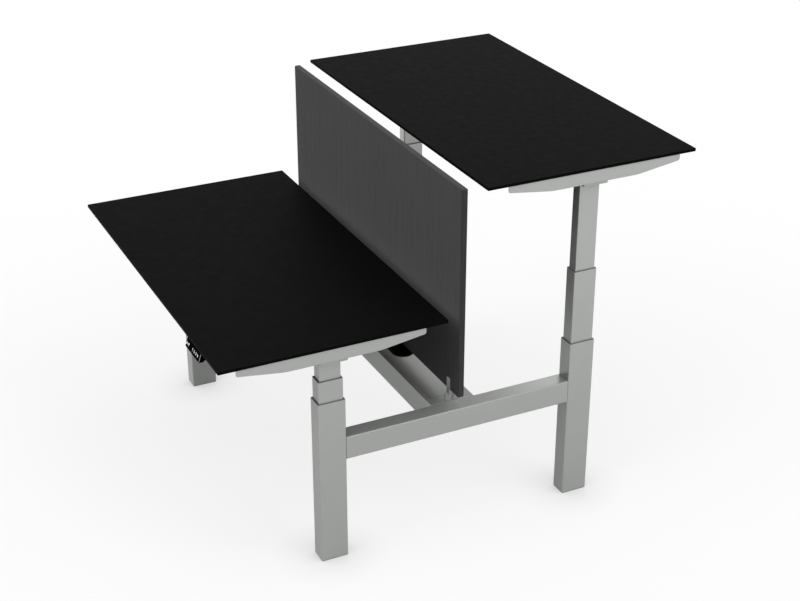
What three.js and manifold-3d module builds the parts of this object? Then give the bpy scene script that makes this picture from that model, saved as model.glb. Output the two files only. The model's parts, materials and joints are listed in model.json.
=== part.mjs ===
// Back-to-back bench for two users: two electric sit-stand worktops on one steel frame.
// Millimetres, +Z up, origin on the floor under the middle of the bench.
// Desk A faces -Y and is set at a sitting height. Desk B faces +Y and is set at a standing height.

import * as THREE from 'three';
import { mergeVertices } from 'three/addons/utils/BufferGeometryUtils.js';
import Module from 'manifold-3d';

const wasm = await Module();
wasm.setup();

// Clearances and roundness shared by all pieces
const fitGap = 0.3;
const cornerSegments = 3;
const bendSegments = 6;
const roundSegments = 20;
const cutMargin = 1;

// Worktops
const worktopLength = 1360;
const worktopDepth = 750;
const worktopThickness = 10;
const worktopCorner = 3;
const worktopArris = 1;
const worktopGap = 126;

// Height of each worktop above its lowest setting, and the middle tubes' share of that travel
const seatedLift = 118;
const standingLift = 532.5;
const midShare = 0.44;

// Lifting columns: three nested tubes, the widest at the floor
const outerAcross = 60;
const outerDeep = 92;
const outerHeight = 576;
const columnWall = 2;
const columnCorner = 3;
const glideGap = 3;
const midProud = 23;
const headClear = 1;
const stageFloorGap = 55;
const columnEndInset = 57.5;
const columnRearInset = 383.5;

// Levelling feet plugged into the outer tubes
const footFlange = 2;
const footInset = 1;
const plugHeight = 20;

// Plate on top of each inner tube, longer on the motor's side
const headAcross = 84;
const headDeep = 88;
const headShift = 8;
const headThickness = 12;
const headCorner = 4;

// Side arms: pressed sheet, a well for the motor over the column and a channel open downwards at both ends
const armEndInset = 5;
const armLength = 620;
const armHeight = 43.5;
const armEndHeight = 22;
const armTaper = 155;
const armBend = 18;
const armCorner = 8;
const armSheet = 3;

// Motor and gearbox that stand on the head plate inside the side arm
const gearAcross = 54;
const gearDeep = 64;
const gearTopClear = 4;
const gearCorner = 6;
const motorRadius = 16;
const motorLength = 92;
const driveClear = 2;

// Lift spindle inside the inner tube
const spindleRadius = 6;
const spindleBore = 7;
const stopRadius = 8;
const stopHeight = 6;
const spindleEndGap = 20;

// Rail between the two side arms of a desk
const railDeep = 80;
const railHeight = 30;
const railWall = 2;
const railCorner = 3;

// Control box under the worktop
const controlLength = 250;
const controlDeep = 100;
const controlHeight = 36;
const controlCorner = 14;
const controlArris = 2;
const controlRearInset = 95;
const socketWidth = 16;
const socketHeight = 12;
const socketDepth = 8;
const socketCount = 4;
const socketPitch = 34;

// Handset under the front edge, with a face that leans towards the user
const handsetWidth = 124;
const handsetDeep = 52;
const handsetBack = 24;
const handsetEndInset = 143;
const handsetArris = 1.5;
const faceDrop = 28;
const faceLean = 8.6;
const handsetSole = 6;
const keyWidth = 11;
const keyHeight = 14;
const keyCorner = 2.5;
const keyArris = 0.4;
const keyProud = 0.8;
const keyDepth = 3.4;
const keyTravel = 1;
const keySideGap = 0.35;
const keyFloorGap = 0.5;
const arrowPitch = 14;
const arrowStart = 11;
const memoryPitch = 14.7;
const memoryStart = 60;

// Cross beams between the two desks' columns
const beamAcross = 58;
const beamHeight = 80;
const beamWall = 2.5;
const beamCorner = 3;
const beamDrop = 137.3;

// Cable trough between the cross beams: a channel whose ledges carry a lid that is flush with the beams
const troughWidth = 154;
const troughSheet = 2;
const troughLip = 16;
const troughLedge = 8;
const troughDeck = 40;
const lidSheet = 2;
const lidGap = 1.2;
const lidCorner = 1;

// Screen between the worktops
const screenEndInset = 28;
const screenThickness = 21;
const screenHeight = 716;
const screenLift = 41;
const screenCorner = 4;
const screenArris = 3;

// Screen brackets: two upright tabs on the trough's deck, a seat, and straps up both faces of the screen
const tabSheet = 6;
const tabWidth = 20;
const tabHeight = 32;
const tabSpacing = 29;
const tabEndInset = 1.5;
const strapWidth = 21;
const strapReach = 44;
const strapLap = 10;
const bracketPlate = 3;

// Power tray: a tub with outlets in its floor, hung by its rim in the lid under the screen
const trayLength = 536;
const trayWidth = 76;
const trayCorner = 37.5;
const trayDepth = 44;
const trayFloor = 6;
const trayWall = 2.5;
const rimWidth = 3;
const rimThickness = 1.5;
const outletLength = 46;
const outletWidth = 22;
const outletDepth = 2;
const outletPitch = 130;
const outletSpacing = 32;
const outletCount = 3;
const cableWayLength = 46;
const cableWayWidth = 40;
const cableWayPlace = 212;

// Places worked out from the sizes above
const columnX = worktopLength / 2 - columnEndInset;
const columnRow = worktopGap / 2 + columnRearInset;
const tubeStart = footFlange + fitGap;
const outerTop = tubeStart + outerHeight;
const stageStep = 2 * (columnWall + glideGap);
const midAcross = outerAcross - stageStep;
const midDeep = outerDeep - stageStep;
const innerAcross = midAcross - stageStep;
const innerDeep = midDeep - stageStep;
const lowestMidTop = outerTop + midProud;
const midLength = lowestMidTop - stageFloorGap;
const lowestInnerTop = lowestMidTop + headClear;
const innerLength = lowestInnerTop - stageFloorGap;
const headTopGap = headThickness + fitGap;
const armWidth = 2 * (columnEndInset - armEndInset);
const beamTop = outerTop - beamDrop;
const troughHalf = columnX - beamAcross / 2 - fitGap;
const screenBottom = beamTop + screenLift;
const screenLength = worktopLength - 2 * screenEndInset;
const lidWayLength = 2 * (troughHalf - troughDeck);
const lidWayWidth = troughWidth - 2 * troughLip;

// Finishes
const silverPaint = new THREE.MeshStandardMaterial({ color: 0xa4a7a3, roughness: 0.5, metalness: 0.35 });
const blackLaminate = new THREE.MeshStandardMaterial({ color: 0x0f0f10, roughness: 0.55, metalness: 0 });
const greyFabric = new THREE.MeshStandardMaterial({ color: 0x3b3c3d, roughness: 0.95, metalness: 0 });
const blackPlastic = new THREE.MeshStandardMaterial({ color: 0x0b0b0c, roughness: 0.5, metalness: 0 });
const keyPlastic = new THREE.MeshStandardMaterial({ color: 0x141415, roughness: 0.4, metalness: 0 });
const castAlloy = new THREE.MeshStandardMaterial({ color: 0x8b8d8f, roughness: 0.45, metalness: 0.8 });
const brightSteel = new THREE.MeshStandardMaterial({ color: 0xb5b7b9, roughness: 0.3, metalness: 1 });

// Joins and cuts

function toSolid(geometry) {
  const bare = geometry.clone();
  bare.deleteAttribute('normal');
  bare.deleteAttribute('uv');
  const welded = mergeVertices(bare, 1e-4);
  return new wasm.Manifold(new wasm.Mesh({
    numProp: 3,
    vertProperties: new Float32Array(welded.attributes.position.array),
    triVerts: new Uint32Array(welded.index.array),
  }));
}

function toGeometry(solid) {
  const mesh = solid.getMesh();
  const geometry = new THREE.BufferGeometry();
  geometry.setAttribute('position', new THREE.BufferAttribute(mesh.vertProperties, 3));
  geometry.setIndex(new THREE.BufferAttribute(mesh.triVerts, 1));
  geometry.computeVertexNormals();
  return geometry;
}

function join(first, ...others) {
  return toGeometry(others.reduce((sum, other) => sum.add(toSolid(other)), toSolid(first)));
}

function cut(first, ...tools) {
  return toGeometry(tools.reduce((rest, tool) => rest.subtract(toSolid(tool)), toSolid(first)));
}

// Basic shapes

function box(across, deep, high, x = 0, y = 0, z = 0) {
  return new THREE.BoxGeometry(across, deep, high).translate(x, y, z);
}

function roundedRect(width, height, radius, Kind = THREE.Shape) {
  const outline = new Kind();
  const x = width / 2 - radius;
  const y = height / 2 - radius;
  const quarter = Math.PI / 2;
  outline.absarc(x, -y, radius, -quarter, 0);
  outline.absarc(x, y, radius, 0, quarter);
  outline.absarc(-x, y, radius, quarter, 2 * quarter);
  outline.absarc(-x, -y, radius, 2 * quarter, 3 * quarter);
  return outline;
}

// A prism from z = 0 up, with its end edges rounded by the arris
function prism(outline, length, arris = 0, segments = cornerSegments) {
  return new THREE.ExtrudeGeometry(outline, {
    depth: length - 2 * arris,
    bevelEnabled: arris > 0,
    bevelSize: arris,
    bevelThickness: arris,
    bevelOffset: -arris,
    bevelSegments: 2,
    curveSegments: segments,
  }).translate(0, 0, arris);
}

function tube(width, height, radius, wall, length) {
  const section = roundedRect(width, height, radius);
  section.holes.push(roundedRect(width - 2 * wall, height - 2 * wall, radius - wall / 2, THREE.Path));
  return prism(section, length);
}

// Turns a prism so that its length runs along X, with its section's x along Y and its y along Z
function alongX(geometry, length) {
  return geometry.translate(0, 0, -length / 2).rotateX(Math.PI / 2).rotateZ(Math.PI / 2);
}

// Turns a prism so that its length runs along Y, with its section's x along X and its y along Z
function alongY(geometry, length) {
  return geometry.translate(0, 0, -length / 2).rotateX(Math.PI / 2);
}

function addPiece(parent, name, geometry, material, x = 0, y = 0, z = 0) {
  const mesh = new THREE.Mesh(geometry, material);
  mesh.name = name;
  mesh.position.set(x, y, z);
  parent.add(mesh);
}

// Pieces of a lifting column, each on the column's axis

function footGeometry() {
  const inside = columnWall + fitGap;
  const plug = roundedRect(outerAcross - 2 * inside, outerDeep - 2 * inside, columnCorner - columnWall / 2);
  const flange = roundedRect(outerAcross - 2 * footInset, outerDeep - 2 * footInset, columnCorner);
  return join(prism(flange, footFlange), prism(plug, tubeStart + plugHeight));
}

function headGeometry() {
  const outline = roundedRect(headAcross, headDeep, headCorner);
  const plate = prism(outline, headThickness).translate(0, headShift, 0);
  const bore = new THREE.CylinderGeometry(spindleBore, spindleBore, 3 * headThickness, roundSegments);
  return cut(plate, bore.rotateX(Math.PI / 2));
}

function driveGeometry() {
  const gearHeight = armHeight - gearTopClear;
  const gearbox = prism(roundedRect(gearAcross, gearDeep, gearCorner), gearHeight, armSheet / 2);
  const motor = new THREE.CylinderGeometry(motorRadius, motorRadius, motorLength, roundSegments);
  const motorHeight = armSheet + driveClear + motorRadius;
  return join(gearbox, motor.translate(0, gearDeep / 2 + motorLength / 2 - gearCorner, motorHeight));
}

function spindleGeometry(length) {
  const profile = [
    new THREE.Vector2(0, 0),
    new THREE.Vector2(stopRadius, 0),
    new THREE.Vector2(stopRadius, stopHeight),
    new THREE.Vector2(spindleRadius, stopHeight),
    new THREE.Vector2(spindleRadius, length),
    new THREE.Vector2(0, length),
  ];
  return new THREE.LatheGeometry(profile, roundSegments).rotateX(Math.PI / 2);
}

// Side view of the arm: y along the desk's depth, z up from the arm's underside
function armOutline() {
  const half = armLength / 2;
  const flat = half - armTaper;
  const endFloor = armHeight - armEndHeight;
  const slope = new THREE.Vector2(armTaper, endFloor).normalize();
  const outline = new THREE.Shape();
  outline.moveTo(-half, armHeight);
  outline.lineTo(-half, endFloor + armCorner);
  outline.quadraticCurveTo(-half, endFloor, -half + armCorner * slope.x, endFloor - armCorner * slope.y);
  outline.lineTo(-flat - armBend * slope.x, armBend * slope.y);
  outline.quadraticCurveTo(-flat, 0, -flat + armBend, 0);
  outline.lineTo(flat - armBend, 0);
  outline.quadraticCurveTo(flat, 0, flat + armBend * slope.x, armBend * slope.y);
  outline.lineTo(half - armCorner * slope.x, endFloor - armCorner * slope.y);
  outline.quadraticCurveTo(half, endFloor, half, endFloor + armCorner);
  outline.lineTo(half, armHeight);
  return outline;
}

function armGeometry() {
  const innerWidth = armWidth - 2 * armSheet;
  const flat = armLength / 2 - armTaper;
  const shell = alongX(prism(armOutline(), armWidth, 0, bendSegments), armWidth);
  const well = box(innerWidth, 2 * (flat - armSheet), armHeight, 0, 0, armSheet + armHeight / 2);
  const gearWay = box(gearAcross + 2 * driveClear, gearDeep + 2 * driveClear, 4 * armSheet);
  const openEnds = [-1, 1].map((sign) => {
    return box(innerWidth, 2 * armTaper, 2 * (armHeight - armSheet), 0, sign * (flat + armTaper));
  });
  return cut(shell, well, gearWay, ...openEnds);
}

// Pieces under the worktop

function controlGeometry() {
  const shape = prism(roundedRect(controlLength, controlDeep, controlCorner), controlHeight, controlArris);
  const sockets = [];
  for (let i = 0; i < socketCount; i += 1) {
    const x = (i - (socketCount - 1) / 2) * socketPitch;
    sockets.push(box(socketWidth, 2 * socketDepth, socketHeight, x, -controlDeep / 2, controlHeight / 2));
  }
  return cut(shape, ...sockets);
}

// The handset's face: x along the front edge, y up the face, z out of it, from the middle of the face
const faceLength = Math.hypot(faceDrop, faceLean);
const facePlane = new THREE.Matrix4()
  .makeRotationX(Math.atan2(faceDrop, faceLean))
  .setPosition(0, -faceLean / 2, -faceDrop / 2);

function keyPlaces() {
  const left = -handsetWidth / 2;
  const memoryNames = ['memory_1', 'memory_2', 'memory_3', 'memory_4'];
  const arrows = ['up', 'down'].map((name, i) => ({ name, x: left + arrowStart + i * arrowPitch }));
  const memories = memoryNames.map((name, i) => ({ name, x: left + memoryStart + i * memoryPitch }));
  return [...arrows, ...memories];
}

function handsetGeometry() {
  const outline = new THREE.Shape();
  outline.moveTo(0, 0);
  outline.lineTo(-faceLean, -faceDrop);
  outline.lineTo(handsetSole, -faceDrop);
  outline.lineTo(handsetSole + faceDrop - handsetBack, -handsetBack);
  outline.lineTo(handsetDeep, -handsetBack);
  outline.lineTo(handsetDeep, 0);
  const housing = alongX(prism(outline, handsetWidth, handsetArris), handsetWidth);
  const pocketDepth = keyDepth - keyProud + keyTravel + keyFloorGap;
  const pockets = keyPlaces().map(({ x }) => {
    const mouth = roundedRect(keyWidth + 2 * keySideGap, keyHeight + 2 * keySideGap, keyCorner + keySideGap);
    const pocket = prism(mouth, pocketDepth + cutMargin).translate(x, 0, -pocketDepth);
    return pocket.applyMatrix4(facePlane);
  });
  return cut(housing, ...pockets);
}

function keyGeometry() {
  return prism(roundedRect(keyWidth, keyHeight, keyCorner), keyDepth, keyArris);
}

// One desk, in a frame where its user sits on the -Y side

function addColumn(desk, prefix, side, headBottom, midTop) {
  const column = new THREE.Group();
  const sign = side === 'right' ? 1 : -1;
  column.position.set(sign * columnX, -columnRow, 0);
  column.rotation.z = side === 'right' ? 0 : Math.PI;
  desk.add(column);

  const add = (name, geometry, material, z) => {
    addPiece(column, `${prefix}_${name}_${side}`, geometry, material, 0, 0, z);
  };
  const outerTube = tube(outerAcross, outerDeep, columnCorner, columnWall, outerHeight);
  const midTube = tube(midAcross, midDeep, columnCorner, columnWall, midLength);
  const innerTube = tube(innerAcross, innerDeep, columnCorner, columnWall, innerLength);
  const spindleLength = innerLength + headTopGap - spindleEndGap;
  const headTop = headBottom + headTopGap;

  add('levelling_foot', footGeometry(), blackPlastic, 0);
  add('outer_column', outerTube, silverPaint, tubeStart);
  add('mid_column', midTube, silverPaint, midTop - midLength);
  add('inner_column', innerTube, silverPaint, headBottom - innerLength);
  add('column_head', headGeometry(), silverPaint, headBottom + fitGap);
  add('lift_spindle', spindleGeometry(spindleLength), brightSteel, headTop - spindleLength);
  add('drive_unit', driveGeometry(), castAlloy, headTop + fitGap);
  add('side_arm', armGeometry(), silverPaint, headTop + fitGap);
}

function addHandset(desk, prefix, underside) {
  const handset = new THREE.Group();
  const x = worktopLength / 2 - handsetEndInset - handsetWidth / 2;
  handset.position.set(x, -worktopGap / 2 - worktopDepth, underside - fitGap);
  desk.add(handset);
  addPiece(handset, `${prefix}_handset`, handsetGeometry(), blackPlastic);

  const face = new THREE.Group();
  face.applyMatrix4(facePlane);
  handset.add(face);
  for (const place of keyPlaces()) {
    addPiece(face, `${prefix}_key_${place.name}`, keyGeometry(), keyPlastic, place.x, 0, keyProud - keyDepth);
  }
}

function buildDesk(prefix, lift) {
  const desk = new THREE.Group();
  const headBottom = lowestInnerTop + lift;
  const midTop = lowestMidTop + midShare * lift;
  for (const side of ['left', 'right']) {
    addColumn(desk, prefix, side, headBottom, midTop);
  }

  const armTop = headBottom + headTopGap + fitGap + armHeight;
  const underside = armTop + fitGap;
  const worktopMiddle = -worktopGap / 2 - worktopDepth / 2;
  const outline = roundedRect(worktopLength, worktopDepth, worktopCorner);
  const sheet = prism(outline, worktopThickness, worktopArris);
  addPiece(desk, `${prefix}_worktop`, sheet, blackLaminate, 0, worktopMiddle, underside);

  const railLength = 2 * (columnX - armWidth / 2 - fitGap);
  const rail = alongX(tube(railDeep, railHeight, railCorner, railWall, railLength), railLength);
  addPiece(desk, `${prefix}_under_rail`, rail, silverPaint, 0, -columnRow, armTop - railHeight / 2);

  const controlMiddle = -worktopGap / 2 - controlRearInset - controlDeep / 2;
  const controlBottom = underside - fitGap - controlHeight;
  addPiece(desk, `${prefix}_control_box`, controlGeometry(), blackPlastic, 0, controlMiddle, controlBottom);

  addHandset(desk, prefix, underside);
  return desk;
}

// Frame between the desks

function addBeams(parent) {
  const length = 2 * (columnRow - outerDeep / 2 - fitGap);
  for (const [side, sign] of [['left', -1], ['right', 1]]) {
    const beam = alongY(tube(beamAcross, beamHeight, beamCorner, beamWall, length), length);
    addPiece(parent, `cross_beam_${side}`, beam, silverPaint, sign * columnX, 0, beamTop - beamHeight / 2);
  }
}

function addTrough(parent) {
  const seatDepth = lidSheet + fitGap;
  const topThickness = seatDepth + troughSheet;
  const innerLength = 2 * (troughHalf - troughSheet);
  const innerWidth = troughWidth - 2 * troughSheet;
  const innerHeight = beamHeight - troughSheet - topThickness;
  const mouthLength = lidWayLength - 2 * troughLedge;
  const mouthWidth = lidWayWidth - 2 * troughLedge;
  const shape = box(2 * troughHalf, troughWidth, beamHeight, 0, 0, -beamHeight / 2);
  const hollow = box(innerLength, innerWidth, innerHeight, 0, 0, -topThickness - innerHeight / 2);
  const seat = box(lidWayLength, lidWayWidth, 2 * seatDepth);
  const mouth = box(mouthLength, mouthWidth, 2 * (topThickness + cutMargin));
  addPiece(parent, 'cable_trough', cut(shape, hollow, seat, mouth), silverPaint, 0, 0, beamTop);

  const section = roundedRect(lidWayLength - 2 * lidGap, lidWayWidth - 2 * lidGap, lidCorner);
  const port = [trayLength, trayWidth].map((length) => length - 2 * rimWidth);
  section.holes.push(roundedRect(...port, trayCorner - rimWidth, THREE.Path));
  addPiece(parent, 'trough_lid', prism(section, lidSheet), silverPaint, 0, 0, beamTop - lidSheet);
}

function bracketGeometry() {
  const base = beamTop + fitGap;
  const strapTop = screenBottom + strapReach - base;
  const strapBottom = tabHeight - strapLap;
  const strapHeight = strapTop - strapBottom;
  const strapCentre = (strapTop + strapBottom) / 2;
  const seatTop = screenBottom - fitGap - base;
  const strapMiddle = screenThickness / 2 + fitGap + bracketPlate / 2;
  const seat = box(strapWidth, 2 * strapMiddle, bracketPlate, 0, 0, seatTop - bracketPlate / 2);
  const jaws = [-1, 1].flatMap((face) => [
    box(tabSheet, tabWidth, tabHeight, 0, (face * tabSpacing) / 2, tabHeight / 2),
    box(strapWidth, bracketPlate, strapHeight, 0, face * strapMiddle, strapCentre),
  ]);
  return join(seat, ...jaws);
}

function addScreen(parent) {
  const outline = roundedRect(screenLength, screenHeight, screenCorner);
  const panel = alongY(prism(outline, screenThickness, screenArris), screenThickness);
  addPiece(parent, 'screen_panel', panel, greyFabric, 0, 0, screenBottom + screenHeight / 2);
  const bracketX = troughHalf - tabEndInset - tabSheet / 2;
  for (const [side, sign] of [['left', -1], ['right', 1]]) {
    const name = `screen_bracket_${side}`;
    addPiece(parent, name, bracketGeometry(), silverPaint, sign * bracketX, 0, beamTop + fitGap);
  }
}

// The tray, from the underside of its rim
function trayGeometry() {
  const throat = rimWidth + fitGap;
  const outside = [trayLength - 2 * throat, trayWidth - 2 * throat, trayCorner - throat];
  const inside = [outside[0] - 2 * trayWall, outside[1] - 2 * trayWall, outside[2] - trayWall];
  const floorTop = trayFloor - trayDepth;
  const rim = prism(roundedRect(trayLength, trayWidth, trayCorner), rimThickness);
  const tub = prism(roundedRect(...outside), trayDepth + rimThickness).translate(0, 0, -trayDepth);
  const room = prism(roundedRect(...inside), trayDepth + rimThickness).translate(0, 0, floorTop);
  const outlets = [];
  for (let i = 0; i < outletCount; i += 1) {
    const x = (i - (outletCount - 1) / 2) * outletPitch;
    for (const sign of [-1, 1]) {
      outlets.push(box(outletLength, outletWidth, 2 * outletDepth, x, (sign * outletSpacing) / 2, floorTop));
    }
  }
  const cableWays = [-1, 1].map((sign) => {
    return box(cableWayLength, cableWayWidth, 3 * trayFloor, sign * cableWayPlace, 0, -trayDepth);
  });
  return cut(join(rim, tub), room, ...outlets, ...cableWays);
}

function addPower(parent) {
  addPiece(parent, 'power_tray', trayGeometry(), blackPlastic, 0, 0, beamTop + fitGap);
}

const bench = new THREE.Group();
const deskA = buildDesk('a', seatedLift);
const deskB = buildDesk('b', standingLift);
deskB.rotation.z = Math.PI;
bench.add(deskA, deskB);
addBeams(bench);
addTrough(bench);
addScreen(bench);
addPower(bench);

export default bench;
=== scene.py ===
"""Looks for the back-to-back bench: finishes, small trim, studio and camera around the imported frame."""

import json
import math

import bmesh
import bpy
from mathutils import Matrix, Vector


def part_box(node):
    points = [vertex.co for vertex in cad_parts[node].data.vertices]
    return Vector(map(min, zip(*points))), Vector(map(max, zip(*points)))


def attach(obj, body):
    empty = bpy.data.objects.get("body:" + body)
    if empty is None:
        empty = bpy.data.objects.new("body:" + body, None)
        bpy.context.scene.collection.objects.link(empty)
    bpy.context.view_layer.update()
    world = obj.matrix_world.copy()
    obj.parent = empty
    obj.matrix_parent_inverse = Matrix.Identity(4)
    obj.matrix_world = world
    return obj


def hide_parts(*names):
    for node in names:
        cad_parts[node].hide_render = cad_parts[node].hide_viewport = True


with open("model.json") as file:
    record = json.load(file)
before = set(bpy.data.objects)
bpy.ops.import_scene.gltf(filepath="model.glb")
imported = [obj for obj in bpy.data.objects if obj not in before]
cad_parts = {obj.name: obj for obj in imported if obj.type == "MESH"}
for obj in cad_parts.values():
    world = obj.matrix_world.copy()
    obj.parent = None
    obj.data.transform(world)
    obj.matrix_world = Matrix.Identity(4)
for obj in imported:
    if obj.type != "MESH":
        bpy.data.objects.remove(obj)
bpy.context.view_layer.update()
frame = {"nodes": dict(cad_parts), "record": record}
NODES = frame["nodes"]
BODY_OF = {n: b for b, members in frame["record"]["behaviour"]["bodies"].items() for n in members}
SLOT_OF = {s["node"]: s["material_slot"] for s in frame["record"]["subparts"]}
SCENE = bpy.context.scene
SIDES = ("left", "right")
KEYS = ("up", "down", "memory_1", "memory_2", "memory_3", "memory_4")


# Materials

def grey(value, tint=(1.0, 1.0, 1.0)):
    """A colour in linear light from a display value of 0 to 255."""
    v = value / 255
    linear = v / 12.92 if v <= 0.04045 else ((v + 0.055) / 1.055) ** 2.4
    return (linear * tint[0], linear * tint[1], linear * tint[2], 1)


def material(name, **sockets):
    made = bpy.data.materials.new(name)
    made.use_nodes = True
    shader = made.node_tree.nodes["Principled BSDF"]
    for socket, value in sockets.items():
        shader.inputs[socket.replace("_", " ")].default_value = value
    return made


def coords(mat, scale=(1, 1, 1)):
    tree = mat.node_tree
    place = tree.nodes.new("ShaderNodeTexCoord")
    mapping = tree.nodes.new("ShaderNodeMapping")
    mapping.inputs["Scale"].default_value = scale
    tree.links.new(place.outputs["Object"], mapping.inputs["Vector"])
    return mapping.outputs["Vector"]


def noise(mat, scale, detail=3, stretch=(1, 1, 1), roughness=0.55):
    tree = mat.node_tree
    node = tree.nodes.new("ShaderNodeTexNoise")
    node.inputs["Scale"].default_value = scale
    node.inputs["Detail"].default_value = detail
    node.inputs["Roughness"].default_value = roughness
    tree.links.new(coords(mat, stretch), node.inputs["Vector"])
    return node.outputs["Fac"]


def wave(mat, direction, period):
    """Bands of one period, in metres, across X or Z."""
    tree = mat.node_tree
    node = tree.nodes.new("ShaderNodeTexWave")
    node.bands_direction = direction
    node.inputs["Scale"].default_value = 2 * math.pi / (20 * period)
    node.inputs["Distortion"].default_value = 0.6
    node.inputs["Detail Scale"].default_value = 3
    tree.links.new(coords(mat), node.inputs["Vector"])
    return node.outputs["Fac"]


def spread(mat, value, low, high, source=(0.3, 0.7)):
    tree = mat.node_tree
    node = tree.nodes.new("ShaderNodeMapRange")
    node.inputs["From Min"].default_value = source[0]
    node.inputs["From Max"].default_value = source[1]
    node.inputs["To Min"].default_value = low
    node.inputs["To Max"].default_value = high
    tree.links.new(value, node.inputs["Value"])
    return node.outputs["Result"]


def math_node(mat, operation, first, second):
    tree = mat.node_tree
    node = tree.nodes.new("ShaderNodeMath")
    node.operation = operation
    for socket, value in zip(node.inputs, (first, second)):
        if isinstance(value, (int, float)):
            socket.default_value = value
        else:
            tree.links.new(value, socket)
    return node.outputs["Value"]


def mixed(mat, factor, first, second):
    tree = mat.node_tree
    node = tree.nodes.new("ShaderNodeMix")
    node.data_type = "RGBA"
    tree.links.new(factor, node.inputs["Factor"])
    for socket, value in ((node.inputs["A"], first), (node.inputs["B"], second)):
        if isinstance(value, tuple):
            socket.default_value = value
        else:
            tree.links.new(value, socket)
    return node.outputs["Result"]


def to_shader(mat, socket, value):
    mat.node_tree.links.new(value, mat.node_tree.nodes["Principled BSDF"].inputs[socket])


def bump(mat, height, strength, distance):
    tree = mat.node_tree
    node = tree.nodes.new("ShaderNodeBump")
    node.inputs["Strength"].default_value = strength
    node.inputs["Distance"].default_value = distance
    tree.links.new(height, node.inputs["Height"])
    to_shader(mat, "Normal", node.outputs["Normal"])


def powder_coat(name, value, tint):
    """Satin silver paint: metal flake in it, a faint cloud in the colour and fine orange peel."""
    mat = material(name, Metallic=0.55, Specular_IOR_Level=0.35)
    cloud = spread(mat, noise(mat, 6, 3), 0, 1)
    flake = spread(mat, noise(mat, 2600, 1), 0, 1, (0.35, 0.65))
    base = mixed(mat, cloud, grey(value - 2, tint), grey(value + 2, tint))
    to_shader(mat, "Base Color", mixed(mat, flake, base, grey(value + 5, tint)))
    to_shader(mat, "Roughness", spread(mat, noise(mat, 90, 2), 0.28, 0.35))
    bump(mat, noise(mat, 1500, 2), 0.045, 0.0003)
    return mat


def moulded(name, value, roughness, grain=1400, strength=0.12, specular=0.3):
    """Moulded plastic with a fine spark-eroded grain."""
    mat = material(name, Specular_IOR_Level=specular)
    cloud = spread(mat, noise(mat, 25, 3), 0, 1)
    to_shader(mat, "Base Color", mixed(mat, cloud, grey(value), grey(value + 4)))
    to_shader(mat, "Roughness", spread(mat, noise(mat, 60, 2), roughness - 0.05, roughness + 0.07))
    bump(mat, noise(mat, grain, 2), strength, 0.0002)
    return mat


def metal(name, value, roughness, stretch):
    """Bare metal with fine tool marks along one axis."""
    mat = material(name, Metallic=1.0)
    marks = noise(mat, 900, 2, stretch)
    to_shader(mat, "Base Color", mixed(mat, spread(mat, marks, 0, 1), grey(value - 12), grey(value + 8)))
    to_shader(mat, "Roughness", spread(mat, marks, roughness - 0.06, roughness + 0.1))
    bump(mat, marks, 0.08, 0.0002)
    return mat


def normal_parts(mat):
    """The X, Y and Z of the surface's own direction."""
    tree = mat.node_tree
    facing = tree.nodes.new("ShaderNodeNewGeometry")
    parts = tree.nodes.new("ShaderNodeSeparateXYZ")
    tree.links.new(facing.outputs["True Normal"], parts.inputs["Vector"])
    return parts.outputs


def laminate():
    """Super-matt compact laminate: a speckled black face, and a plainer, blacker core at the edges."""
    mat = material("black_laminate", Specular_IOR_Level=0.013)
    speckle = spread(mat, noise(mat, 420, 4), 0, 1, (0.35, 0.7))
    face = mixed(mat, speckle, grey(5), grey(11))
    is_face = math_node(mat, "GREATER_THAN", math_node(mat, "ABSOLUTE", normal_parts(mat)["Z"], 0), 0.6)
    core = mixed(mat, noise(mat, 300, 2), grey(9), grey(13))
    to_shader(mat, "Base Color", mixed(mat, is_face, core, face))
    to_shader(mat, "Roughness", spread(mat, noise(mat, 35, 3), 0.52, 0.60))
    bump(mat, noise(mat, 900, 3), 0.05, 0.0003)
    return mat


def felt():
    """Woven screen fabric: upright slubs in the tone, a fine two-way weave, a soft nap, and painted shade on the
    top and end faces, which get darker tones than the front.
    """
    mat = material("screen_fabric", Specular_IOR_Level=0.1, Sheen_Weight=0.06, Sheen_Roughness=0.6)
    slub = spread(mat, noise(mat, 1, 3, (190, 190, 9)), 0, 1)
    long_slub = spread(mat, noise(mat, 1, 2, (70, 70, 2.5)), 0, 1)
    weave = math_node(mat, "MULTIPLY", wave(mat, "X", 0.0016), wave(mat, "Z", 0.0016))
    base = mixed(mat, slub, grey(61), grey(71))
    base = mixed(mat, math_node(mat, "MULTIPLY", long_slub, 0.45), base, grey(77))
    thread = mixed(mat, math_node(mat, "MULTIPLY", weave, 0.25), base, grey(88))
    facing = normal_parts(mat)
    is_face = spread(mat, math_node(mat, "ABSOLUTE", facing["Y"], 0), 0, 1, (0.5, 0.8))
    is_end = math_node(mat, "ABSOLUTE", facing["X"], 0)
    # Painted shade: faces not facing ±Y get darker tones than the front, the top darkest and the ends a little
    # lighter, so these faces render dimmer.
    painted_edge_shade = mixed(mat, is_end, mixed(mat, slub, grey(44), grey(53)), mixed(mat, slub, grey(56), grey(66)))
    to_shader(mat, "Base Color", mixed(mat, is_face, painted_edge_shade, thread))
    to_shader(mat, "Roughness", spread(mat, noise(mat, 500, 2), 0.82, 0.95))
    bump(mat, math_node(mat, "ADD", weave, noise(mat, 900, 2)), 0.35, 0.0004)
    return mat


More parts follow.
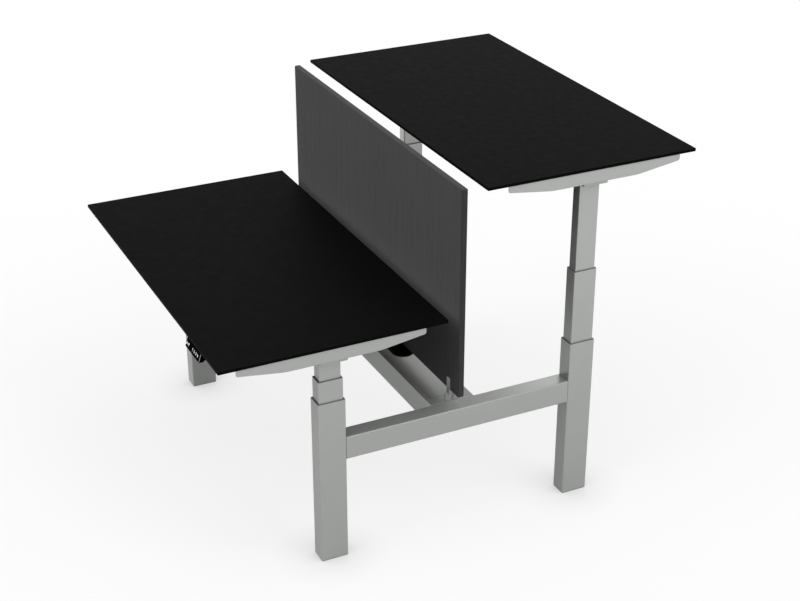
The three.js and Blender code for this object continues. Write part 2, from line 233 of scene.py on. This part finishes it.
PAINT = powder_coat("silver_paint", 167, (0.97, 1.0, 0.96))
LAMINATE = laminate()
FABRIC = felt()
PLASTIC = moulded("black_plastic", 12, 0.5)
HOUSING = moulded("handset_plastic", 8, 0.4, 1800, 0.06, 0.0)
KEYCAP = moulded("key_plastic", 12, 0.4, 2200, 0.06, 0.01)
TRAY = moulded("tray_plastic", 5, 0.5, 1400, 0.12, 0.01)
# Painted highlight: a bright metal for the strip that stands in for light on the handset's end bevel.
HIGHLIGHT_STRIP = metal("painted_highlight_alloy", 190, 0.4, (1, 1, 1))
GUIDE = moulded("guide_plastic", 96, 0.5)
MARK = moulded("white_print", 250, 0.55, 2600, 0.05)
ALLOY = metal("cast_alloy", 150, 0.45, (1, 1, 1))
STEEL = metal("bright_steel", 176, 0.3, (1, 1, 0.04))
ZINC = metal("zinc_screws", 168, 0.36, (1, 1, 1))
PORT = metal("port_steel", 74, 0.5, (1, 1, 1))
FINISH = {"frame_paint": PAINT, "worktop_laminate": LAMINATE, "screen_fabric": FABRIC, "black_plastic": PLASTIC,
          "key_plastic": KEYCAP, "drive_metal": ALLOY, "spindle_steel": STEEL}


# Mesh helpers

def add_piece(name, bm, mat, body, replaced=None, arris=0.0, angle=35):
    """Turns a bmesh into a piece on a body, with rounded arrises and normals weighted to its flat faces."""
    bmesh.ops.recalc_face_normals(bm, faces=bm.faces)
    mesh = bpy.data.meshes.new(name)
    bm.to_mesh(mesh)
    bm.free()
    obj = bpy.data.objects.new(name, mesh)
    SCENE.collection.objects.link(obj)
    if arris:
        edge = obj.modifiers.new("arris", "BEVEL")
        edge.width = arris
        edge.segments = 3
        edge.limit_method = "ANGLE"
        edge.angle_limit = math.radians(angle)
        edge.miter_outer = "MITER_ARC"
    for polygon in mesh.polygons:
        polygon.use_smooth = True
    mesh.set_sharp_from_angle(angle=math.radians(60))
    weights = obj.modifiers.new("weights", "WEIGHTED_NORMAL")
    weights.keep_sharp = True
    graph = bpy.context.evaluated_depsgraph_get()
    final = bpy.data.meshes.new_from_object(obj.evaluated_get(graph))
    obj.modifiers.clear()
    obj.data = final
    bpy.data.meshes.remove(mesh)
    final.name = name
    final.materials.clear()
    final.materials.append(mat)
    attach(obj, body)
    if replaced:
        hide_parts(replaced)
    return obj


def dressed(node, arris, mat=None):
    """A node's own shape with its sharp arrises rounded."""
    bm = bmesh.new()
    bm.from_mesh(NODES[node].data)
    bmesh.ops.remove_doubles(bm, verts=bm.verts, dist=1e-6)
    bmesh.ops.dissolve_limit(bm, angle_limit=math.radians(0.5), verts=bm.verts, edges=bm.edges)
    slot = SLOT_OF[node]
    return add_piece(node + "_dressed", bm, mat or FINISH[slot], BODY_OF[node], node, arris)


def loop(width, depth, radius, z, steps=5):
    """A rounded rectangle around the origin, as points at one height."""
    points = []
    for quarter in range(4):
        sx, sy = ((1, 1), (-1, 1), (-1, -1), (1, -1))[quarter]
        for step in range(steps + 1):
            turn = math.pi / 2 * (quarter + step / steps)
            x = sx * (width / 2 - radius) + radius * math.cos(turn)
            y = sy * (depth / 2 - radius) + radius * math.sin(turn)
            points.append(Vector((x, y, z)))
    return points


def loft(loops, ring, place=Matrix()):
    """Skins a row of loops. A ring closes back on its first loop, and anything else gets two caps."""
    bm = bmesh.new()
    rows = [[bm.verts.new(place @ p) for p in row] for row in loops]
    pairs = list(zip(rows, rows[1:]))
    if ring:
        pairs.append((rows[-1], rows[0]))
    for low, high in pairs:
        for i in range(len(low)):
            j = (i + 1) % len(low)
            bm.faces.new((low[i], low[j], high[j], high[i]))
    if not ring:
        bm.faces.new(list(reversed(rows[0])))
        bm.faces.new(rows[-1])
    return bm


def block_loops(width, depth, radius, low, high, arris, steps=5):
    """Loops of a block with rounded corners and rounded arrises at both ends."""
    loops = []
    turns = [math.pi / 2 * i / 3 for i in range(4)]
    for turn in turns:
        shrink = 2 * arris * (1 - math.sin(turn))
        z = low + arris * (1 - math.cos(turn))
        loops.append(loop(width - shrink, depth - shrink, max(radius - shrink / 2, 1e-4), z, steps))
    for turn in reversed(turns):
        shrink = 2 * arris * (1 - math.sin(turn))
        z = high - arris * (1 - math.cos(turn))
        loops.append(loop(width - shrink, depth - shrink, max(radius - shrink / 2, 1e-4), z, steps))
    return loops


def tube_loops(width, depth, radius, wall, low, high):
    """Loops of an open tube with its end arrises eased."""
    ease = 0.0004
    inner = (width - 2 * wall, depth - 2 * wall, max(radius - wall, 0.0008))
    loops = [loop(width, depth, radius, low + ease), loop(width, depth, radius, high - ease)]
    loops.append(loop(width - 2 * ease, depth - 2 * ease, radius - ease, high))
    loops.append(loop(*inner, high))
    loops.append(loop(*inner, low))
    loops.append(loop(width - 2 * ease, depth - 2 * ease, radius - ease, low))
    return loops


def joined(parts):
    """One bmesh out of several."""
    whole = bmesh.new()
    for bm in parts:
        mesh = bpy.data.meshes.new("part")
        bm.to_mesh(mesh)
        bm.free()
        whole.from_mesh(mesh)
        bpy.data.meshes.remove(mesh)
    return whole


def button_screw(spot, radius=0.0042, steps=18):
    """A button head with a hex socket, hung from a spot on an underside."""
    def ring(height, reach, hexagon=False):
        row = []
        for i in range(steps):
            turn = 2 * math.pi * i / steps
            r = reach / math.cos(turn % (math.pi / 3) - math.pi / 6) if hexagon else reach
            row.append(Vector((r * math.cos(turn), r * math.sin(turn), -height)) + Vector(spot))
        return row

    return loft([ring(0, radius), ring(0.12 * radius, radius), ring(0.34 * radius, 0.88 * radius),
                 ring(0.5 * radius, 0.6 * radius), ring(0.5 * radius, 0.38 * radius, True),
                 ring(0.16 * radius, 0.38 * radius, True)], False)


def centre(node):
    low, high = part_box(node)
    return (low + high) / 2


def size(node):
    low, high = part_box(node)
    return high - low


# Columns: smooth tubes with a black guide bush at the top of each stage

TUBE_RADIUS = 0.0035
TUBE_WALL = 0.002
BUSH = 0.0007
BUSH_SKIRT = 0.014
BUSH_GAP = 0.0003


def column_tube(node, next_node):
    """One stage. Where a narrower stage slides in it, the tube ends in a guide bush."""
    middle, extent = centre(node), size(node)
    low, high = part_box(node)
    place = Matrix.Translation((middle.x, middle.y, 0))
    top = high.z - BUSH if next_node else high.z
    bm = loft(tube_loops(extent.x, extent.y, TUBE_RADIUS, TUBE_WALL, low.z, top), True, place)
    add_piece(node + "_tube", bm, PAINT, BODY_OF[node], node)
    if not next_node:
        return
    inner = size(next_node)
    hole = (inner.x + 2 * BUSH_GAP, inner.y + 2 * BUSH_GAP, TUBE_RADIUS)
    skirt = (extent.x - 2 * TUBE_WALL - 2 * BUSH_GAP, extent.y - 2 * TUBE_WALL - 2 * BUSH_GAP, TUBE_RADIUS - 0.001)
    cap = (extent.x - 0.0004, extent.y - 0.0004, TUBE_RADIUS)
    loops = [loop(*skirt, high.z - BUSH_SKIRT), loop(*skirt, top), loop(*cap, top), loop(*cap, high.z - 0.0003),
             loop(cap[0] - 0.0006, cap[1] - 0.0006, cap[2], high.z), loop(*hole, high.z),
             loop(*hole, high.z - BUSH_SKIRT)]
    add_piece(node + "_bush", loft(loops, True, place), GUIDE, BODY_OF[node])


for desk in "ab":
    for side in SIDES:
        outer, mid, inner = (f"{desk}_{stage}_column_{side}" for stage in ("outer", "mid", "inner"))
        column_tube(outer, mid)
        column_tube(mid, inner)
        column_tube(inner, None)


# Frame: cross beams, trough, lid, power tray and screen brackets

TAB = Vector((0.006, 0.020, 0.032))
STRAP_SHEET = 0.003
STRAP_HIGH = 0.0627
SEAT_DROP = 0.0003


def screen_bracket(side):
    """Two upright tabs, a strap up each face of the screen and the seat between the straps."""
    node = f"screen_bracket_{side}"
    low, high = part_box(node)
    middle, wide = (low.x + high.x) / 2, high.x - low.x
    strap_y = size("screen_panel").y / 2 + SEAT_DROP + STRAP_SHEET / 2
    strap_z = high.z - STRAP_HIGH / 2
    seat_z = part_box("screen_panel")[0].z - SEAT_DROP
    upright = Matrix.Rotation(math.pi / 2, 4, "X")
    parts = []
    for face, edge in ((-1, low.y), (1, high.y)):
        tab = block_loops(TAB.x, TAB.y, 0.001, low.z, low.z + TAB.z, 0.0008)
        parts.append(loft(tab, False, Matrix.Translation((middle, edge - face * TAB.y / 2, 0))))
        strap = block_loops(wide, STRAP_HIGH, 0.002, -STRAP_SHEET / 2, STRAP_SHEET / 2, 0.0006)
        parts.append(loft(strap, False, Matrix.Translation((middle, face * strap_y, strap_z)) @ upright))
    seat = block_loops(wide, 2 * strap_y, 0.0006, seat_z - STRAP_SHEET, seat_z, 0.0004)
    parts.append(loft(seat, False, Matrix.Translation((middle, 0, 0))))
    add_piece(node + "_plates", joined(parts), PAINT, "frame", node)


for side in SIDES:
    node = f"cross_beam_{side}"
    extent, middle = size(node), centre(node)
    turn = Matrix.Rotation(math.pi / 2, 4, "X")
    loops = tube_loops(extent.x, extent.z, 0.0035, 0.0025, -extent.y / 2, extent.y / 2)
    add_piece(node + "_tube", loft(loops, True, Matrix.Translation(middle) @ turn), PAINT, "frame", node)
    screen_bracket(side)
dressed("cable_trough", 0.0008)
dressed("trough_lid", 0.0004)
dressed("power_tray", 0.0006, TRAY)


# Screen: a fabric-covered panel

def screen():
    extent, middle = size("screen_panel"), centre("screen_panel")
    turn = Matrix.Rotation(math.pi / 2, 4, "X")
    loops = block_loops(extent.x, extent.z, 0.004, -extent.y / 2, extent.y / 2, 0.003)
    bm = loft(loops, False, Matrix.Translation(middle) @ turn)
    add_piece("screen_cover", bm, FABRIC, "frame", "screen_panel")


screen()


# Desks

def worktop(desk):
    node = f"{desk}_worktop"
    extent, middle = size(node), centre(node)
    low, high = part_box(node)
    place = Matrix.Translation((middle.x, middle.y, 0))
    bm = loft(block_loops(extent.x, extent.y, 0.003, low.z, high.z, 0.001), False, place)
    add_piece(node + "_sheet", bm, LAMINATE, f"{desk}_desk", node)


for desk in "ab":
    worktop(desk)
    for side in SIDES:
        dressed(f"{desk}_side_arm_{side}", 0.0012)
        dressed(f"{desk}_column_head_{side}", 0.0012)
        dressed(f"{desk}_levelling_foot_{side}", 0.0006)
        NODES[f"{desk}_drive_unit_{side}"].data.materials.clear()
        NODES[f"{desk}_drive_unit_{side}"].data.materials.append(ALLOY)
        NODES[f"{desk}_lift_spindle_{side}"].data.materials.clear()
        NODES[f"{desk}_lift_spindle_{side}"].data.materials.append(STEEL)
    node = f"{desk}_under_rail"
    extent, middle = size(node), centre(node)
    turn = Matrix.Rotation(math.pi / 2, 4, "Y")
    loops = tube_loops(extent.z, extent.y, 0.0035, 0.002, -extent.x / 2, extent.x / 2)
    add_piece(node + "_tube", loft(loops, True, Matrix.Translation(middle) @ turn), PAINT, BODY_OF[node], node)
    dressed(f"{desk}_control_box", 0.0008)
    dressed(f"{desk}_handset", 0.0004, HOUSING)
    for key in KEYS:
        node = f"{desk}_key_{key}"
        NODES[node].data.materials.clear()
        NODES[node].data.materials.append(KEYCAP)


# Screws under the arms and the control boxes

ARM_SHEET = 0.003
ARM_SCREWS = (-0.287, -0.212, 0.212, 0.287)


def plate_spots(node, inset):
    """Four spots on a node's underside, inset from its corners."""
    low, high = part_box(node)
    return [(x, y, low.z) for x in (low.x + inset, high.x - inset) for y in (low.y + inset, high.y - inset)]


for desk in "ab":
    spots = plate_spots(f"{desk}_control_box", 0.016)
    for side in SIDES:
        arm = f"{desk}_side_arm_{side}"
        middle, top = centre(arm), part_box(arm)[1].z
        spots += [(middle.x, middle.y + along, top - ARM_SHEET) for along in ARM_SCREWS]
    add_piece(f"{desk}_screws", joined([button_screw(spot) for spot in spots]), ZINC, f"{desk}_desk")


# Charging outlets in the power tray: a dark insert with two bright ports in each pocket of its floor

def outlets():
    inserts, ports = [], []
    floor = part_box("power_tray")[0].z + 0.006
    for x in (-0.13, 0, 0.13):
        for y in (-0.016, 0.016):
            place = Matrix.Translation((x, y, floor))
            inserts.append(loft(block_loops(0.0452, 0.0212, 0.002, -0.0018, 0.0012, 0.0005), False, place))
            for shift in (-0.010, 0.010):
                port = tube_loops(0.0092, 0.0034, 0.0016, 0.0006, 0.0010, 0.0019)
                ports.append(loft(port, True, place @ Matrix.Translation((shift, 0, 0))))
    add_piece("outlet_inserts", joined(inserts), TRAY, BODY_OF["power_tray"])
    add_piece("outlet_ports", joined(ports), PORT, BODY_OF["power_tray"])


outlets()


# Handset print: an arrow or a number on each key, and a bright metal strip at one end of the housing, which is a
# painted highlight where light would catch the end's bevel

PRINT = 0.00012
ARROW_HALF = 0.0051
ARROW_TURNS = {"up": 1, "down": -1}
NUMBER_HIGH = 0.0094
NUMBER_WIDEN = 1.1
# Size of the painted highlight strip at the housing's end.
HIGHLIGHT_STRIP_WIDTH = 0.0014
HIGHLIGHT_STRIP_HIGH = 0.0255
KEY_PROUD = 0.0008


def bend(y, radius, start, end, steps=10):
    """One edge of a figure's round stroke, between two angles in degrees, around a height on its middle line."""
    turns = [math.radians(start + (end - start) * i / steps) for i in range(steps + 1)]
    return [(radius * math.cos(turn), y + radius * math.sin(turn)) for turn in turns]


# Outlines of the figures, one unit high
FIGURES = {
    "1": [(-0.08, -0.5), (0.14, -0.5), (0.14, 0.5), (-0.03, 0.5), (-0.22, 0.33), (-0.22, 0.10), (-0.08, 0.21)],
    "2": bend(0.19, 0.31, 165, -40) + [(-0.02, -0.28), (0.30, -0.28), (0.30, -0.5), (-0.31, -0.5), (-0.31, -0.30)]
         + bend(0.19, 0.09, -40, 165),
    "3": bend(0.20, 0.30, 160, -38.6) + bend(-0.19, 0.31, 35, -160) + bend(-0.19, 0.09, -160, 90)
         + [(-0.10, -0.10), (-0.10, 0.115)] + bend(0.20, 0.085, -90, 160),
    "4": [(-0.31, -0.20), (0.04, -0.20), (0.04, -0.5), (0.26, -0.5), (0.26, 0.5), (0.04, 0.5), (0.04, 0.01),
          (-0.09, 0.01), (-0.09, 0.5), (-0.31, 0.5)],
}


def key_front(node):
    """A frame on the front of a key: x to the user's right, y up the face, z out of it."""
    mesh = NODES[node].data
    front = [p for p in mesh.polygons if abs(p.normal.y) > 0.9 and p.normal.z > 0.1]
    points = [mesh.vertices[i].co for p in front for i in p.vertices]
    low, high = (Vector(limit(axis) for axis in zip(*points)) for limit in (min, max))
    out = front[0].normal
    across = Vector((-out.y, 0, 0)).normalized()
    place = Matrix((across, out.cross(across), out)).transposed().to_4x4()
    place.translation = (low + high) / 2
    return place


def arrow(turn):
    """A solid triangle that points up, or down when turned."""
    points = [Vector((-ARROW_HALF, -ARROW_HALF * 0.8)), Vector((ARROW_HALF, -ARROW_HALF * 0.8)), Vector((0, ARROW_HALF))]
    rows = [[(turn * p).to_3d() + Vector((0, 0, z)) for p in points] for z in (-PRINT, PRINT)]
    return loft(rows, False)


def number(text):
    """A bold figure of the print's height, around the origin."""
    points = [Vector((NUMBER_WIDEN * x, y)) * NUMBER_HIGH for x, y in FIGURES[text]]
    return loft([[p.to_3d() + Vector((0, 0, z)) for p in points] for z in (-PRINT, PRINT)], False)


def painted_highlight_strip(node, across):
    """A painted highlight: a bright strip up the housing's face, a distance across from a key's middle, in place of
    light caught on the end's bevel.
    """
    strip = block_loops(HIGHLIGHT_STRIP_WIDTH, HIGHLIGHT_STRIP_HIGH, 0.0004, -KEY_PROUD - 0.0002, -KEY_PROUD + 0.0003, 0.0001)
    return loft(strip, False, key_front(node) @ Matrix.Translation((across, 0, 0)))


for desk in "ab":
    add_piece(f"{desk}_handset_painted_highlight", painted_highlight_strip(f"{desk}_key_memory_4", 0.0181), HIGHLIGHT_STRIP, BODY_OF[f"{desk}_handset"])
    for key in KEYS:
        node = f"{desk}_key_{key}"
        glyph = arrow(ARROW_TURNS[key]) if key in ARROW_TURNS else number(key[-1])
        bmesh.ops.transform(glyph, matrix=key_front(node), verts=glyph.verts)
        add_piece(node + "_print", glyph, MARK, BODY_OF[node])


# Studio: a pale floor, a ring of soft light around the room and two broad lamps

SKY_STRENGTH = 1.8
SKY = ((0, 0.0), (0.25, 0.05), (0.42, 0.75), (0.52, 1.0), (0.66, 0.95), (0.78, 0.1), (1, 1.0))
WHITE = 1 / SKY_STRENGTH
BACKGROUND = ((0, WHITE), (0.3, WHITE)) + SKY[2:]
LAMPS = (("soft_key", 1.2, (0.62, 0.46, 0.64)), ("soft_front", 1.0, (0, -0.71, 0.71)))


def sky_ramp(world, height, stops):
    """Grey levels over the sine of the elevation."""
    tree = world.node_tree
    climb = tree.nodes.new("ShaderNodeValToRGB")
    levels = climb.color_ramp.elements
    for place, level in stops[1:-1]:
        levels.new(place)
    for stop, (place, level) in zip(levels, stops):
        stop.color = (level, level, level, 1)
    tree.links.new(height, climb.inputs["Fac"])
    return climb.outputs["Color"]


def studio():
    bpy.ops.mesh.primitive_plane_add(size=60, location=(0, 0, 0))
    floor = bpy.context.object
    floor.name = "studio_floor"
    mat = material("studio_floor", Roughness=0.9, Specular_IOR_Level=0.0, Emission_Color=(1, 1, 1, 1))
    tree = mat.node_tree
    path = tree.nodes.new("ShaderNodeLightPath")
    mirrored = math_node(mat, "MAXIMUM", path.outputs["Is Glossy Ray"], path.outputs["Is Transmission Ray"])
    cloud = noise(mat, 0.5, 2)
    pale = mixed(mat, cloud, (0.56, 0.56, 0.56, 1), (0.58, 0.58, 0.58, 1))
    dim = mixed(mat, cloud, (0.05, 0.05, 0.05, 1), (0.07, 0.07, 0.07, 1))
    to_shader(mat, "Base Color", mixed(mat, mirrored, dim, pale))
    reach = tree.nodes.new("ShaderNodeVectorMath")
    reach.operation = "LENGTH"
    tree.links.new(coords(mat), reach.inputs[0])
    far_glow = spread(mat, reach.outputs["Value"], 0.17, 0.52, (1.2, 3.2))
    to_shader(mat, "Emission Strength", math_node(mat, "MULTIPLY", mirrored, far_glow))
    shade = tree.nodes.new("ShaderNodeBsdfDiffuse")
    shade.inputs["Color"].default_value = (0.16, 0.16, 0.16, 1)
    glow = tree.nodes.new("ShaderNodeEmission")
    # Painted contact shadow: the floor's glow seen by the camera dims where the AO node finds the desk within
    # reach.
    painted_contact_shadow = tree.nodes.new("ShaderNodeAmbientOcclusion")
    painted_contact_shadow.inputs["Distance"].default_value = 0.16
    tree.links.new(spread(mat, painted_contact_shadow.outputs["AO"], 0.50, 0.75, (0.4, 1.0)), glow.inputs["Strength"])
    seen = tree.nodes.new("ShaderNodeAddShader")
    tree.links.new(shade.outputs["BSDF"], seen.inputs[0])
    tree.links.new(glow.outputs["Emission"], seen.inputs[1])
    choice = tree.nodes.new("ShaderNodeMixShader")
    tree.links.new(path.outputs["Is Camera Ray"], choice.inputs["Fac"])
    tree.links.new(tree.nodes["Principled BSDF"].outputs["BSDF"], choice.inputs[1])
    tree.links.new(seen.outputs["Shader"], choice.inputs[2])
    tree.links.new(choice.outputs["Shader"], tree.nodes["Material Output"].inputs["Surface"])
    floor.data.materials.append(mat)

    world = bpy.data.worlds.new("studio")
    SCENE.world = world
    world.use_nodes = True
    tree = world.node_tree
    place = tree.nodes.new("ShaderNodeTexCoord")
    parts = tree.nodes.new("ShaderNodeSeparateXYZ")
    tree.links.new(place.outputs["Generated"], parts.inputs["Vector"])
    path = tree.nodes.new("ShaderNodeLightPath")
    mirrored = math_node(world, "MAXIMUM", path.outputs["Is Glossy Ray"], path.outputs["Is Transmission Ray"])
    seen = math_node(world, "MAXIMUM", path.outputs["Is Camera Ray"], mirrored)
    rings = [sky_ramp(world, parts.outputs["Z"], stops) for stops in (SKY, BACKGROUND)]
    tree.links.new(mixed(world, seen, *rings), tree.nodes["Background"].inputs["Color"])
    tree.nodes["Background"].inputs["Strength"].default_value = SKY_STRENGTH

    for name, energy, towards in LAMPS:
        lamp = bpy.data.lights.new(name, "SUN")
        lamp.energy = energy
        lamp.angle = math.radians(40)
        holder = bpy.data.objects.new(name, lamp)
        holder.rotation_euler = Vector(towards).to_track_quat("Z", "Y").to_euler()
        holder.visible_glossy = False
        SCENE.collection.objects.link(holder)


def camera():
    lens = bpy.data.cameras.new("photo_camera")
    lens.sensor_fit = "HORIZONTAL"
    lens.sensor_width = 36
    lens.lens = 36 * 1554.3 / 800
    lens.shift_y = 0.0004
    lens.clip_end = 200
    view = bpy.data.objects.new("photo_camera", lens)
    view.location = (4.41576, -2.04260, 2.98864)
    view.rotation_euler = Vector((-0.80293, 0.38972, -0.45103)).to_track_quat("-Z", "Y").to_euler()
    SCENE.collection.objects.link(view)
    SCENE.camera = view


studio()
camera()
SCENE.view_settings.view_transform = "Standard"
